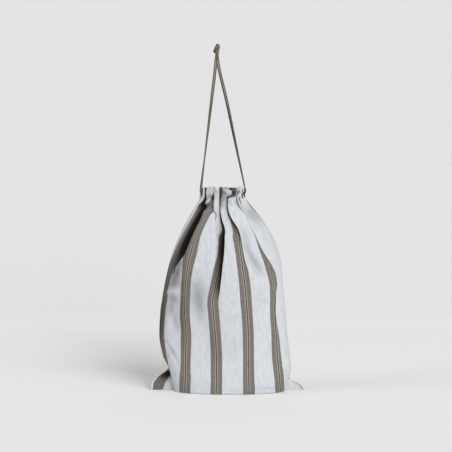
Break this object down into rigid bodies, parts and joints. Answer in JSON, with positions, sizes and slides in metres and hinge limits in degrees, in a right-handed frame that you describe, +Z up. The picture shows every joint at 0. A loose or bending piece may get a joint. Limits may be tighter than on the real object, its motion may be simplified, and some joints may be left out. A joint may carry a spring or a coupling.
{
  "type": "drawstring storage bag",
  "caption": "Cloth drawstring bag in its filled shape, standing on its base, with a gathered neck, flat sewn corners and cord strands drawn up into a knot; open inside.",
  "frame": {"origin": "on the floor below the middle of the bag", "axes": "+Z up, the striped front faces -Y, +X to the right as seen from the front"},
  "size_m": [0.3434, 0.1434, 0.7611],
  "materials": {
    "cloth": "plain woven cotton, matt, with woven stripes",
    "cord": "twisted cotton cord, matt"
  },
  "bodies": {
    "root": {"panel_front": "cloth", "panel_back": "cloth", "cord_left_front": "cord", "cord_left_back": "cord", "cord_right_front": "cord", "cord_right_back": "cord", "cord_knot": "cord"}
  },
  "joints": []
}
